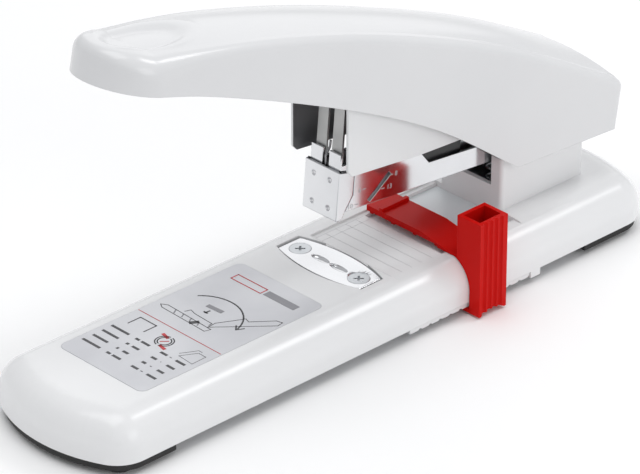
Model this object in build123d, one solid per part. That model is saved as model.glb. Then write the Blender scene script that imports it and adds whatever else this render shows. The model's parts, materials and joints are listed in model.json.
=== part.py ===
from build123d import *
import math
import os

# Heavy-duty desk stapler with a long lever: base, tilting magazine, pressing lever and sliding depth stop.
# Millimetres. +X points to the rear, +Z up. The origin is on the desk, straight below the hinge pin.

# Base
BASE_TOP = 21.5
BASE_LOW = 5.1
BASE_HALF = 34.0
BASE_FRONT = -241.5
BASE_REAR = 30.5
BASE_CORNER = 13.0
SHOULDER = 12.0
SHELL = 2.2
PLATE_TOP = 7.2
SOLE_LOW = 2.0
FRONT_SOLE_END = -208.0
REAR_SOLE_START = -8.5
REAR_SOLE_END = 24.0

# Paper recess, guide sheet and anvil on top of the base
RECESS_FRONT = -97.0
RECESS_LEFT = 19.0
RECESS_DEPTH = 0.8
STEP_X = -71.5
GUIDE_LEFT = 17.2
GUIDE_RIGHT = -22.0
ANVIL_X = -105.6
ANVIL_HALF_LENGTH = 20.6
ANVIL_HALF_WIDTH = 8.6
ANVIL_HALF_END = 5.4
ANVIL_POCKET = 1.0
ANVIL_TOP = 21.1
ANVIL_SCREW_Y = 15.0
LABEL_FRONT = -213.2
LABEL_LENGTH = 84.9
LABEL_HALF = 21.65

# Pedestal moulded on the base cover
PED_FRONT = -35.0
PED_REAR = 8.0
PED_HALF = 15.5
PED_WALL = 1.9
PED_HIGH = 42.5
PED_LOW = 36.2
PED_SLOT_HALF = 10.4
PED_SLOT_FLOOR = 30.5

# Hinge
HINGE_Z = 57.5
PIN_R = 3.5
PIN_CLEARANCE = 0.05
PIN_HALF = 16.4
EAR_INNER = 9.7
EAR_OUTER = 11.5
EYE_R = 7.3

# Lever frame and handle cover
LEVER_INNER = 13.3
LEVER_OUTER = 14.5
LEVER_SHEET = 1.2
COVER_WALL = 2.2
NOSE_X = -216.5
NOSE_HALF = 18.5
TAIL_X = 19.4
TAIL_HALF = 25.0
TAIL_NOTCH_HALF = 17.0
TAIL_NOTCH_TOP = 58.0
COVER_SCREWS_X = (-92.0, -50.0)

# Magazine, in its own frame: x back along it from the head's front face, z up from the head's lower edge
MAG_X = -110.6
MAG_Z = 42.7
MAG_PITCH = 5.0
MAG_HALF = 8.7
MAG_SHEET = 1.2
HEAD_HEIGHT = 18.8
DIMPLE_Y = 4.0
DIMPLE_Z = (3.8, 14.6)
CHANNEL_LOW = 3.0
CHANNEL_HIGH = 17.5
RAIL_HALF = 5.5
RAIL_TOP = 16.0
STAPLE_HALF = 6.5
STAPLE_WIRE = 0.6
STRIP_START = 3.9
STRIP_LENGTH = 28.0
PUSHER_LENGTH = 30.0
RAIL_END = 90.0
MAG_RIVET = (88.0, 6.6)
DRIVER_X = 2.6
DRIVER_THICK = 1.0
DRIVER_TIP = 17.4
DRIVER_TOP = 52.0

# Depth stop
STOP_FRONT = -69.8
STOP_REAR = -56.2
STOP_INNER = -27.8
STOP_OUTER = -39.4
STOP_TOP = 38.0
STOP_LOW = 0.9
SADDLE_Y = -9.0
SADDLE_LOW = 20.9
STOP_ARM_TOP = 24.2
RACK_FRONT = -98.0
RACK_REAR = -33.0
RACK_PITCH = 5.0
RACK_LOW = 2.9


# ---------------------------------------------------------------- shape helpers

def block(x0, x1, y0, y1, z0, z1):
    """A box between two corners."""
    return Pos((x0 + x1) / 2, (y0 + y1) / 2, (z0 + z1) / 2) * Box(x1 - x0, y1 - y0, z1 - z0)


def post(x, y, radius, z0, z1):
    """An upright cylinder."""
    return Pos(x, y, (z0 + z1) / 2) * Cylinder(radius, z1 - z0)


def cross_rod(x, z, radius, y0, y1):
    """A cylinder lying across the stapler."""
    return Pos(x, (y0 + y1) / 2, z) * Rot(90, 0, 0) * Cylinder(radius, y1 - y0)


def long_rod(y, z, radius, x0, x1):
    """A cylinder lying along the stapler."""
    return Pos((x0 + x1) / 2, y, z) * Rot(0, 90, 0) * Cylinder(radius, x1 - x0)


def side_plate(points, y0, y1):
    """An outline of (x, z) points, given a thickness across the stapler."""
    outline = Plane.XZ * make_face(Polyline(*points, close=True))
    return extrude(Pos(0, y1, 0) * outline, amount=y1 - y0)


def both_sides(points, inner, outer):
    """The same side plate on the left and on the right."""
    return side_plate(points, inner, outer) + side_plate(points, -outer, -inner)


def in_magazine(shape):
    """Put a shape drawn in the magazine's frame in its place."""
    return Pos(MAG_X, 0, MAG_Z) * Rot(0, MAG_PITCH, 0) * shape


def hinge_in_magazine():
    """The hinge axis as seen in the magazine's frame."""
    pitch = math.radians(MAG_PITCH)
    along = -MAG_X
    up = HINGE_Z - MAG_Z
    return along * math.cos(pitch) - up * math.sin(pitch), along * math.sin(pitch) + up * math.cos(pitch)


# ---------------------------------------------------------------- base

def base_form(inset, z0, z1, rounded):
    """The base's plan, drawn in by inset, between two heights, with its top edge rounded if asked."""
    half = BASE_HALF - inset
    front = BASE_FRONT + inset
    rear = BASE_REAR - inset
    outline = make_face(
        Curve()
        + ThreePointArc((front + 10.5, half), (front, 0), (front + 10.5, -half))
        + Line((front + 10.5, -half), (rear - 8.5, -half))
        + ThreePointArc((rear - 8.5, -half), (rear, 0), (rear - 8.5, half))
        + Line((rear - 8.5, half), (front + 10.5, half))
    )
    outline = fillet(outline.vertices(), BASE_CORNER - inset)
    form = extrude(Pos(0, 0, z0) * outline, amount=z1 - z0)
    if rounded:
        form = fillet(form.faces().sort_by(Axis.Z)[-1].edges(), SHOULDER - inset)
    return form


def lens(grow, z0, z1):
    """The anvil's boat shape: long across the base, blunt at its ends."""
    half_length = ANVIL_HALF_LENGTH + grow
    half_width = ANVIL_HALF_WIDTH + grow
    end = ANVIL_HALF_END
    outline = make_face(
        Curve()
        + ThreePointArc((ANVIL_X - end, -half_length), (ANVIL_X - half_width, 0), (ANVIL_X - end, half_length))
        + Line((ANVIL_X - end, half_length), (ANVIL_X + end, half_length))
        + ThreePointArc((ANVIL_X + end, half_length), (ANVIL_X + half_width, 0), (ANVIL_X + end, -half_length))
        + Line((ANVIL_X + end, -half_length), (ANVIL_X - end, -half_length))
    )
    return extrude(Pos(0, 0, z0) * outline, amount=z1 - z0)


def base_cover():
    """White moulded shell with the pedestal, the paper recess and the depth stop's rack."""
    shell = base_form(0, BASE_LOW, BASE_TOP, True)
    shell -= base_form(SHELL, BASE_LOW - 1, BASE_TOP - SHELL, True)
    outline = [
        (PED_FRONT, BASE_TOP - SHELL),
        (PED_FRONT, PED_HIGH),
        (PED_FRONT + 15, PED_HIGH),
        (PED_FRONT + 25, PED_LOW),
        (PED_REAR, PED_LOW),
        (PED_REAR, BASE_TOP - SHELL),
    ]
    pedestal = side_plate(outline, -PED_HALF, PED_HALF)
    pedestal = fillet(pedestal.edges().filter_by(Axis.Z), 1.5)
    shell += pedestal
    shell -= block(
        PED_FRONT + PED_WALL, PED_REAR - PED_WALL, PED_WALL - PED_HALF, PED_HALF - PED_WALL, 15, PED_HIGH + 5
    )
    shell -= block(PED_FRONT - 1, PED_FRONT + 3, -PED_SLOT_HALF, PED_SLOT_HALF, PED_SLOT_FLOOR, PED_HIGH + 5)
    shell -= block(
        RECESS_FRONT, PED_FRONT, -BASE_HALF, RECESS_LEFT, BASE_TOP - RECESS_DEPTH, BASE_TOP + 0.01
    )
    shell -= block(STEP_X, PED_FRONT, GUIDE_RIGHT, GUIDE_LEFT, 15, BASE_TOP)
    shell -= lens(ANVIL_POCKET, 15, BASE_TOP + 1)
    return shell + depth_rack()


def depth_rack():
    """Notched rail under the right edge that the depth stop clicks along, ending in a small tab."""
    right = SHELL - BASE_HALF
    rail = block(RACK_FRONT, RACK_REAR, 0.8 - BASE_HALF, right, RACK_LOW, BASE_LOW + 0.5)
    steps = int((RACK_REAR - RACK_FRONT) / RACK_PITCH)
    for step in range(1, steps):
        rail -= cross_rod(RACK_FRONT + RACK_PITCH * step, RACK_LOW - 0.4, 0.9, -BASE_HALF, right + 1)
    tab = block(RACK_REAR - 4.8, RACK_REAR, -BASE_HALF, right, RACK_LOW - 0.4, BASE_LOW + 2.5)
    return rail + tab


def base_plate():
    """Steel sheet that closes the base from below and carries everything."""
    plate = base_form(SHELL + 0.4, BASE_LOW, PLATE_TOP, False)
    for x, y in base_screw_places():
        plate -= post(x, y, 1.7, BASE_LOW - 1, PLATE_TOP + 1)
    return plate


def base_screw_places():
    """Places of the screws that hold the sheet to the shell's bosses."""
    return [(x, y) for x in (-200.0, -125.0, -82.0, 14.0) for y in (-24.0, 24.0)]


def cover_bosses():
    """Screw bosses that reach down from the shell's roof to the base sheet."""
    bosses = Part()
    for x, y in base_screw_places():
        bosses += post(x, y, 3.4, PLATE_TOP, BASE_TOP - SHELL - 0.2) - post(x, y, 1.5, PLATE_TOP - 1, 16)
    return bosses


def base_screws():
    """Pan-head screws under the base."""
    screws = Part()
    for x, y in base_screw_places():
        screws += post(x, y, 1.5, BASE_LOW, 14)
        screws += post(x, y, 2.8, BASE_LOW - 1.6, BASE_LOW)
    return screws


def sole(x0, x1):
    """A rubber sole under one end, a little inside the shell's edge."""
    slab = base_form(1.0, SOLE_LOW, BASE_LOW, False)
    slab = slab & block(x0, x1, -BASE_HALF, BASE_HALF, 0, BASE_LOW + 1)
    for x, y in base_screw_places():
        slab -= post(x, y, 3.6, 0, BASE_LOW + 1)
    return slab


def front_foot():
    """Front sole with two round pads near the corners."""
    foot = sole(BASE_FRONT, FRONT_SOLE_END)
    for y in (-24.0, 24.0):
        foot += post(-226.0, y, 5.5, 0, SOLE_LOW)
    return foot


def rear_foot():
    """Rear sole with one broad pad straight below the hinge."""
    return sole(REAR_SOLE_START, REAR_SOLE_END) + block(-6, 12, -22, 22, 0, SOLE_LOW)


def anvil_plate():
    """Chromed plate that clinches the staple legs, with two countersunk holes and a clinching pocket."""
    plate = lens(0, ANVIL_TOP - 1.8, ANVIL_TOP)
    for y in (-ANVIL_SCREW_Y, ANVIL_SCREW_Y):
        plate -= post(ANVIL_X, y, 2.1, 15, 25)
        plate -= Pos(ANVIL_X, y, ANVIL_TOP - 0.85) * Cone(2.1, 4.2, 1.7)
    for y in (-4.6, 4.6):
        plate -= Pos(ANVIL_X, y, ANVIL_TOP) * scale(Sphere(1), (1.5, 4.4, 1.1))
    return plate


def anvil_screws():
    """Countersunk screws that hold the anvil plate on its block."""
    screws = Part()
    for y in (-ANVIL_SCREW_Y, ANVIL_SCREW_Y):
        screws += Pos(ANVIL_X, y, ANVIL_TOP - 0.85) * Cone(2.0, 4.1, 1.6)
        screws += post(ANVIL_X, y, 2.0, 10, ANVIL_TOP - 1.6)
        for turn in (45, 135):
            slot = Box(3.6, 0.7, 1.4)
            screws -= Pos(ANVIL_X, y, ANVIL_TOP - 0.2) * Rot(0, 0, turn) * slot
    return screws


def anvil_block():
    """Steel block between the base sheet and the anvil plate."""
    solid = block(ANVIL_X - 8, ANVIL_X + 8, -19.5, 19.5, PLATE_TOP, ANVIL_TOP - 1.8)
    for y in (-ANVIL_SCREW_Y, ANVIL_SCREW_Y):
        solid -= post(ANVIL_X, y, 2.0, 10, 25)
    solid -= block(ANVIL_X - 5, ANVIL_X + 5, -9, 9, PLATE_TOP - 1, 15)
    return solid & base_form(SHELL + 0.3, 0, BASE_TOP - SHELL - 0.2, False)


def guide_sheet():
    """Blue-grey sheet that paper slides over between the platform and the pedestal."""
    sheet = block(STEP_X - 2.5, PED_FRONT + 1.5, GUIDE_RIGHT - 2.5, GUIDE_LEFT + 2.5, 17.8, 19.3)
    return sheet & base_form(SHELL + 0.3, 0, BASE_TOP - SHELL, True)


def base_label():
    """Thin foil on the base's front half."""
    outline = Rectangle(LABEL_LENGTH, 2 * LABEL_HALF)
    outline = fillet(outline.vertices(), 3.0)
    return extrude(Pos(LABEL_FRONT + LABEL_LENGTH / 2, 0, BASE_TOP) * outline, amount=0.12)


def hinge_bracket():
    """Steel yoke: a foot on the base sheet and two ears that reach back and up to the hinge pin."""
    ear = [
        (-31, PLATE_TOP),
        (-8, PLATE_TOP),
        (-8, 33),
        (-18, 43.5),
        (-5.3, HINGE_Z - 5.0),
        (-3.0, HINGE_Z + 6.6),
        (-22, 58),
        (-31, 40),
    ]
    bracket = both_sides(ear, EAR_INNER, EAR_OUTER)
    for side in (-1, 1):
        edges = sorted((side * EAR_INNER, side * EAR_OUTER))
        bracket += cross_rod(0, HINGE_Z, EYE_R, *edges)
    bracket += block(-31, -8, -EAR_OUTER, EAR_OUTER, PLATE_TOP, PLATE_TOP + 1.8)
    bracket -= cross_rod(0, HINGE_Z, PIN_R + PIN_CLEARANCE, -20, 20)
    for x, y in bracket_rivet_places():
        bracket -= post(x, y, 1.5, 0, 20)
    return bracket


def bracket_rivet_places():
    """Places of the rivets through the yoke's foot."""
    return [(x, y) for x in (-28.0, -11.0) for y in (-5.5, 5.5)]


def bracket_rivets():
    """Rivets that hold the yoke on the base sheet."""
    rivets = Part()
    for x, y in bracket_rivet_places():
        rivets += post(x, y, 1.5, PLATE_TOP, PLATE_TOP + 1.8)
        rivets += post(x, y, 2.6, PLATE_TOP + 1.8, PLATE_TOP + 2.8)
    return rivets


def tube_spring(radius, wire, length):
    """Stand-in for a coil spring: rings of wire on a thin sleeve, along +Z from zero."""
    spring = Pos(0, 0, length / 2) * (Cylinder(radius, length) - Cylinder(radius - wire, length))
    return spring


def magazine_lift_spring():
    """Compression spring between the yoke's foot and the magazine."""
    return Pos(-21, 0, PLATE_TOP + 1.9) * tube_spring(4.5, 1.0, 28.0)


# ---------------------------------------------------------------- hinge pin

def hinge_pin():
    """Steel pin through the yoke, the magazine and the lever."""
    pin = cross_rod(0, HINGE_Z, PIN_R, -PIN_HALF, PIN_HALF)
    return chamfer(pin.edges().filter_by(GeomType.CIRCLE), 0.5)


def hinge_clips():
    """Retaining clips near both ends of the pin."""
    clips = Part()
    for side in (-1, 1):
        edges = sorted((side * (LEVER_OUTER + 0.3), side * (LEVER_OUTER + 1.1)))
        clips += cross_rod(0, HINGE_Z, 6.0, *edges)
    clips -= cross_rod(0, HINGE_Z, PIN_R, -20, 20)
    return clips - block(0, 10, -20, 20, HINGE_Z - 2.2, HINGE_Z + 2.2)


def torsion_spring():
    """Coil around the middle of the pin that lifts the lever again."""
    coil = cross_rod(0, HINGE_Z, 5.4, -6.4, 6.4) - cross_rod(0, HINGE_Z, 4.2, -7, 7)
    leg = long_rod(6.0, HINGE_Z + 4.8, 0.6, -14, 0)
    lower_leg = long_rod(-6.0, HINGE_Z - 4.8, 0.6, -9, 0)
    return coil + leg + lower_leg


# ---------------------------------------------------------------- handle

def handle_profile(inset):
    """The handle's side view between its curved top and its lower edge, drawn in by inset."""
    top = [
        (NOSE_X + inset, 143.2 - inset),
        (-155.2, 131.2 - inset),
        (-98.1, 114.3 - inset),
        (-38.3, 90.2 - inset),
        (TAIL_X + 1 - inset, 58.8 - inset),
    ]
    drop = 30 if inset else 0
    low = [
        (TAIL_X - 2.6 - inset, 41.0 - drop),
        (-32.3, 40.7 - drop),
    ]
    under = [
        (-32.3, 40.7 - drop),
        (-71.3, 68.7 - drop),
        (-115.1, 92.0 - drop),
        (-177.4, 119.0 - drop),
        (NOSE_X + inset, 131.6 - drop),
    ]
    return make_face(
        Curve()
        + Spline(*top)
        + Line(top[-1], low[0])
        + Line(low[0], low[1])
        + Spline(*under)
        + Line(under[-1], top[0])
    )


def handle_form(inset):
    """The handle's outer solid, or its hollow when inset is the wall thickness."""
    side = extrude(Pos(0, 40, 0) * (Plane.XZ * handle_profile(inset)), amount=80)
    nose = NOSE_HALF - inset
    tail = TAIL_HALF - inset
    nose_centre = NOSE_X + NOSE_HALF
    rear = TAIL_X + 1.2 - inset
    plan = make_face(
        Curve()
        + ThreePointArc((nose_centre, nose), (NOSE_X + inset, 0), (nose_centre, -nose))
        + Spline((nose_centre, -nose), (-96, -nose), (-38, -nose - 2.5), (rear, -tail))
        + Line((rear, -tail), (rear, tail))
        + Spline((rear, tail), (-38, nose + 2.5), (-96, nose), (nose_centre, nose))
    )
    return side & extrude(plan, amount=200)


def lever_top(x):
    """Height of the lever frame's upper edge at x."""
    return 112.0 + (x + 109.3) * (86.5 - 112.0) / (109.3 - 38.0)


def handle_cover():
    """White moulded cover: a long hollow shell, open below, with two screw bosses."""
    outer = handle_form(0)
    cover = outer - handle_form(COVER_WALL)
    cover -= block(TAIL_X - 6, TAIL_X + 6, -TAIL_NOTCH_HALF, TAIL_NOTCH_HALF, 30, TAIL_NOTCH_TOP)
    bosses = Part()
    for x in COVER_SCREWS_X:
        boss = post(x, 0, 3.6, lever_top(x) - 4, 130)
        boss -= side_plate(lever_profile(), -10, 10)
        bosses += boss & handle_form(COVER_WALL / 2)
    cover += bosses
    for x in COVER_SCREWS_X:
        cover -= post(x, 0, 1.5, 60, lever_top(x) + 4.5)
    return cover


def lever_profile():
    """Side view of the lever frame's plates."""
    return [
        (-110.5, 64.4),
        (-108.5, 62.2),
        (-74.7, 58.6),
        (-35.0, 56.4),
        (-12.0, 54.2),
        (-5.0, HINGE_Z - 5.3),
        (2.0, HINGE_Z - 6.9),
        (6.5, HINGE_Z + 2.0),
        (-10.0, 71.0),
        (-38.0, lever_top(-38.0)),
        (-110.5, lever_top(-110.5)),
    ]


def lever_frame():
    """Painted steel channel: two side plates joined by a roof, from the head back to the hinge pin."""
    frame = both_sides(lever_profile(), LEVER_INNER, LEVER_OUTER)
    for side in (-1, 1):
        edges = sorted((side * LEVER_INNER, side * LEVER_OUTER))
        frame += cross_rod(0, HINGE_Z, EYE_R, *edges)
    roof = [
        (-104.0, lever_top(-104.0)),
        (-38.0, lever_top(-38.0)),
        (-38.0, lever_top(-38.0) - LEVER_SHEET),
        (-104.0, lever_top(-104.0) - LEVER_SHEET),
    ]
    frame += side_plate(roof, -LEVER_INNER, LEVER_INNER)
    frame -= cross_rod(0, HINGE_Z, 5.5, -20, 20)
    x, z = press_bar_place()
    frame -= cross_rod(x, z, 2.0, -20, 20)
    for x in COVER_SCREWS_X:
        frame -= post(x, 0, 1.7, 80, 120)
    return frame


def press_bar_place():
    """Where the press bar crosses the lever frame, just over the driver's crosshead."""
    pitch = math.radians(MAG_PITCH)
    along = 4.5
    up = DRIVER_TOP + 3.3
    return (
        MAG_X + along * math.cos(pitch) + up * math.sin(pitch),
        MAG_Z - along * math.sin(pitch) + up * math.cos(pitch),
    )


def press_bar():
    """Steel bar between the lever's plates that pushes the driver down."""
    x, z = press_bar_place()
    bar = cross_rod(x, z, 3.0, -LEVER_INNER, LEVER_INNER)
    bar += cross_rod(x, z, 2.0, -LEVER_OUTER - 0.8, LEVER_OUTER + 0.8)
    return bar


def lever_bushes():
    """Bushes pressed into the lever's plates around the hinge pin."""
    bushes = Part()
    for side in (-1, 1):
        edges = sorted((side * 11.8, side * LEVER_OUTER))
        bushes += cross_rod(0, HINGE_Z, 5.5, *edges)
    return bushes - cross_rod(0, HINGE_Z, PIN_R + PIN_CLEARANCE, -20, 20)


def cover_screws():
    """Screws from inside the lever frame up into the cover's bosses."""
    screws = Part()
    for x in COVER_SCREWS_X:
        head_top = lever_top(x) - LEVER_SHEET - 1.4
        screws += post(x, 0, 1.5, head_top, lever_top(x) + 4)
        screws += post(x, 0, 3.0, head_top - 2.0, head_top)
    return screws


# ---------------------------------------------------------------- magazine, in its own frame

def magazine_channel():
    """Chromed channel: two side walls and a floor, with arms that rise to the hinge pin."""
    hinge_x, hinge_z = hinge_in_magazine()
    wall = [
        (4.0, CHANNEL_LOW),
        (7.6, 8.6),
        (7.6, CHANNEL_HIGH),
        (39.4, 16.7),
        (44.7, 11.1),
        (82.0, 10.6),
        (96.0, 27.0),
        (hinge_x - 4.0, hinge_z + 6.1),
        (hinge_x - 4.9, hinge_z - 5.0),
        (93.5, 11.5),
        (92.0, CHANNEL_LOW),
    ]
    inner = MAG_HALF - MAG_SHEET
    channel = both_sides(wall, inner, MAG_HALF)
    channel += block(6.0, 92.0, -MAG_HALF, MAG_HALF, CHANNEL_LOW, CHANNEL_LOW + MAG_SHEET)
    for side in (-1, 1):
        edges = sorted((side * inner, side * MAG_HALF))
        channel += cross_rod(hinge_x, hinge_z, 7.0, *edges)
    channel -= cross_rod(hinge_x, hinge_z, PIN_R + PIN_CLEARANCE, -20, 20)
    channel -= cross_rod(*MAG_RIVET, 1.3, -20, 20)
    slot = [(14.6, 4.9), (24.4, 13.1), (25.8, 11.9), (16.0, 3.8)]
    channel -= side_plate(slot, -20, -inner + 1)
    return in_magazine(channel)


def head_cap():
    """Chromed cap that closes the magazine's front: a face plate with two side cheeks."""
    cheek = [(0, 0), (3.0, 0.4), (3.7, 2.6), (7.5, 8.6), (7.5, CHANNEL_HIGH), (0.6, HEAD_HEIGHT), (0, HEAD_HEIGHT)]
    cap = both_sides(cheek, MAG_HALF - MAG_SHEET, MAG_HALF)
    cap += block(0, MAG_SHEET, -MAG_HALF, MAG_HALF, 0, HEAD_HEIGHT)
    for y in (-DIMPLE_Y, DIMPLE_Y):
        for z in DIMPLE_Z:
            cap -= Pos(-0.8, y, z) * Rot(0, 90, 0) * Sphere(1.25)
    return in_magazine(cap)


def head_guide():
    """Bright channel behind the face plate that keeps the driver straight; its two tabs stand above it."""
    guide = Part()
    for side in (-1, 1):
        edges = sorted((side * 1.6, side * 7.4))
        guide += block(1.25, 2.3, *edges, 6.0, 24.8)
        edges = sorted((side * 6.6, side * 7.4))
        guide += block(2.3, 7.2, *edges, 6.0, 20.6)
    return in_magazine(guide + block(1.25, 2.3, -1.6, 1.6, 6.0, 14.0))


def spring_hook():
    """Bent wire between the tabs that keeps the driver drawn up."""
    path = FilletPolyline((1.9, 15.0), (1.4, 22.4), (3.0, 25.2), (3.2, 27.6), radius=1.2)
    path = Plane.XZ * path
    section = Plane(path @ 0, z_dir=path % 0) * Circle(0.45)
    return in_magazine(sweep(section, path=path))


def staple_rail():
    """Folded rail inside the channel that the staples straddle."""
    rail = block(STRIP_START, RAIL_END, -RAIL_HALF, RAIL_HALF, CHANNEL_LOW + MAG_SHEET, RAIL_TOP)
    rail -= block(STRIP_START - 1, RAIL_END - 2, 0.9 - RAIL_HALF, RAIL_HALF - 0.9, 0, RAIL_TOP - 0.9)
    rail -= block(STRIP_START + STRIP_LENGTH + 1.0, RAIL_END - 5, -2.5, 2.5, 10, RAIL_TOP + 1)
    rail -= long_rod(0, 10, 1.2, RAIL_END - 3, RAIL_END + 1)
    return in_magazine(rail & block(0, RAIL_END, -8, 8, 0, RAIL_TOP))


def pusher_rod():
    """Rod inside the rail that the pusher and its spring run on."""
    return in_magazine(long_rod(0, 10, 1.2, STRIP_START + 3, RAIL_END))


def pusher_spring():
    """Compression spring around the rod that pushes the staples forward."""
    front = STRIP_START + STRIP_LENGTH + 6.5
    length = RAIL_END - 2.2 - front
    return in_magazine(Pos(front, 0, 10) * Rot(0, 90, 0) * tube_spring(3.4, 0.8, length))


def staple_strip():
    """A stick of staples astride the rail."""
    high = CHANNEL_HIGH - 0.4
    low = CHANNEL_LOW + MAG_SHEET + 0.1
    outer = block(STRIP_START, STRIP_START + STRIP_LENGTH, -STAPLE_HALF, STAPLE_HALF, low, high)
    inner = STAPLE_HALF - STAPLE_WIRE
    return in_magazine(outer - block(0, 60, -inner, inner, 0, high - 0.9))


def staple_pusher():
    """Black sled astride the rail, with a tongue down to the rod and its spring."""
    front = STRIP_START + STRIP_LENGTH + 0.2
    rear = front + PUSHER_LENGTH
    sled = block(front, rear, -7.2, 7.2, 6.0, 17.6)
    sled = chamfer(sled.edges().filter_by(Axis.X).group_by(Axis.Z)[-1], 1.2)
    sled -= block(front - 1, rear + 1, -RAIL_HALF - 0.3, RAIL_HALF + 0.3, 0, RAIL_TOP + 0.3)
    tongue = block(front + 2.0, front + 6.0, -2.2, 2.2, 7.6, RAIL_TOP + 1)
    tongue -= long_rod(0, 10, 1.5, front, front + 8)
    return in_magazine(sled + tongue)


def magazine_rivets():
    """Rivets through both cheeks of the channel behind the head."""
    rivets = Part()
    for side in (-1, 1):
        edges = sorted((side * (MAG_HALF - MAG_SHEET), side * (MAG_HALF + 0.5)))
        rivets += cross_rod(*MAG_RIVET, 1.3, *edges)
    return in_magazine(rivets)


# ---------------------------------------------------------------- driver, in the magazine's frame

def driver_blade():
    """Two flat prongs joined at the top that drive one staple."""
    blade = block(DRIVER_X, DRIVER_X + DRIVER_THICK, -6.4, 6.4, DRIVER_TIP, DRIVER_TOP)
    blade -= block(0, 6, -1.4, 1.4, DRIVER_TIP - 1, DRIVER_TOP - 6.1)
    return in_magazine(blade)


def driver_crosshead():
    """Block clamped on the driver's upper end, which the press bar pushes on."""
    head = block(-1.2, 7.6, -9.0, 9.0, DRIVER_TOP - 6, DRIVER_TOP)
    head -= block(DRIVER_X, DRIVER_X + DRIVER_THICK, -6.4, 6.4, DRIVER_TOP - 7, DRIVER_TOP + 1)
    for y in (-4.0, 4.0):
        head -= long_rod(y, DRIVER_TOP - 3, 1.2, -3, 9)
    return in_magazine(head)


def driver_rivets():
    """Rivets through the crosshead and the driver."""
    rivets = Part()
    for y in (-4.0, 4.0):
        rivets += long_rod(y, DRIVER_TOP - 3, 1.2, -1.2, DRIVER_X)
        rivets += long_rod(y, DRIVER_TOP - 3, 1.2, DRIVER_X + DRIVER_THICK, 7.6)
    return in_magazine(rivets)


# ---------------------------------------------------------------- depth stop

def depth_stop():
    """Red slider: an arm across the paper recess and a fluted hollow post on the right."""
    stop = block(STOP_FRONT, STOP_REAR, STOP_OUTER, STOP_INNER, STOP_LOW, STOP_TOP)
    stop += block(STOP_FRONT, STOP_REAR, STOP_INNER, RECESS_LEFT - 1.0, 22.0, STOP_ARM_TOP)
    stop += block(STOP_FRONT, STOP_REAR, STOP_INNER, -18.0, 15.0, STOP_ARM_TOP)
    stop += block(STOP_FRONT, STOP_REAR, -31.0, STOP_INNER + 0.5, STOP_LOW, 2.4)
    for y in (15.5, 4.5, -6.5, -17.5):
        stop += block(STOP_FRONT + 0.6, STOP_FRONT + 2.6, y, y + 1.5, 21.0, 22.0)
    stop += block(STOP_FRONT, STOP_REAR, 10.0, 11.6, STOP_ARM_TOP, 25.4)
    body = block(-120, 20, -BASE_HALF - 0.4, 10, RACK_LOW - 0.4, BASE_TOP + 0.4)
    body = fillet(body.edges().filter_by(Axis.X).group_by(Axis.Z)[-1].sort_by(Axis.Y)[0], SHOULDER + 0.4)
    stop -= body & block(-120, 20, -BASE_HALF - 0.4, 10, 0, BASE_TOP - RECESS_DEPTH + 0.25)
    stop -= detent_leaf()
    stop -= saddle_cut()
    stop -= block(STOP_FRONT + 1.6, STOP_REAR - 1.6, STOP_OUTER + 2.0, STOP_INNER - 1.6, 23.0, STOP_TOP + 1)
    for step in range(4):
        x = STOP_FRONT + 2.4 + 2.64 * step
        stop -= post(x, STOP_OUTER - 0.3, 1.05, STOP_LOW - 1, STOP_TOP + 1)
    stop -= Pos((STOP_FRONT + STOP_REAR) / 2, 0, STOP_LOW - 11.0) * Rot(90, 0, 0) * Cylinder(12.5, 90)
    return stop


def saddle_cut():
    """Slanting cut that bends the arm down from its crease to the post, over the base's shoulder."""
    slope = [(SADDLE_Y, STOP_ARM_TOP), (STOP_INNER, SADDLE_LOW), (STOP_INNER, 30.0), (SADDLE_Y, 30.0)]
    return Pos(STOP_FRONT - 1, 0, 0) * extrude(Plane.YZ * make_face(Polyline(*slope, close=True)), 20)


def detent_leaf():
    """Leaf spring let into the stop's lower lip, under the rack."""
    middle = (STOP_FRONT + STOP_REAR) / 2
    leaf = block(STOP_FRONT + 2, STOP_REAR - 2, 0.6 - BASE_HALF, 2.6 - BASE_HALF, 1.9, 2.3)
    return leaf + cross_rod(middle, 1.9, 0.7, 0.6 - BASE_HALF, 2.6 - BASE_HALF)


PARTS = {
    "base_cover": lambda: base_cover() + cover_bosses(),
    "base_plate": base_plate,
    "base_screws": base_screws,
    "front_foot": front_foot,
    "rear_foot": rear_foot,
    "anvil_plate": anvil_plate,
    "anvil_screws": anvil_screws,
    "anvil_block": anvil_block,
    "guide_sheet": guide_sheet,
    "base_label": base_label,
    "hinge_bracket": hinge_bracket,
    "bracket_rivets": bracket_rivets,
    "magazine_lift_spring": magazine_lift_spring,
    "hinge_pin": hinge_pin,
    "hinge_clips": hinge_clips,
    "torsion_spring": torsion_spring,
    "handle_cover": handle_cover,
    "lever_frame": lever_frame,
    "press_bar": press_bar,
    "lever_bushes": lever_bushes,
    "cover_screws": cover_screws,
    "magazine_channel": magazine_channel,
    "head_cap": head_cap,
    "head_guide": head_guide,
    "spring_hook": spring_hook,
    "staple_rail": staple_rail,
    "pusher_rod": pusher_rod,
    "pusher_spring": pusher_spring,
    "staple_strip": staple_strip,
    "magazine_rivets": magazine_rivets,
    "staple_pusher": staple_pusher,
    "driver_blade": driver_blade,
    "driver_crosshead": driver_crosshead,
    "driver_rivets": driver_rivets,
    "depth_stop": depth_stop,
    "detent_leaf": detent_leaf,
}

os.makedirs("parts", exist_ok=True)
for name, make in PARTS.items():
    export_step(make(), f"parts/{name}.step")
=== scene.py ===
import bpy
import bmesh
import json
import math
from mathutils import Matrix, Vector


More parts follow.
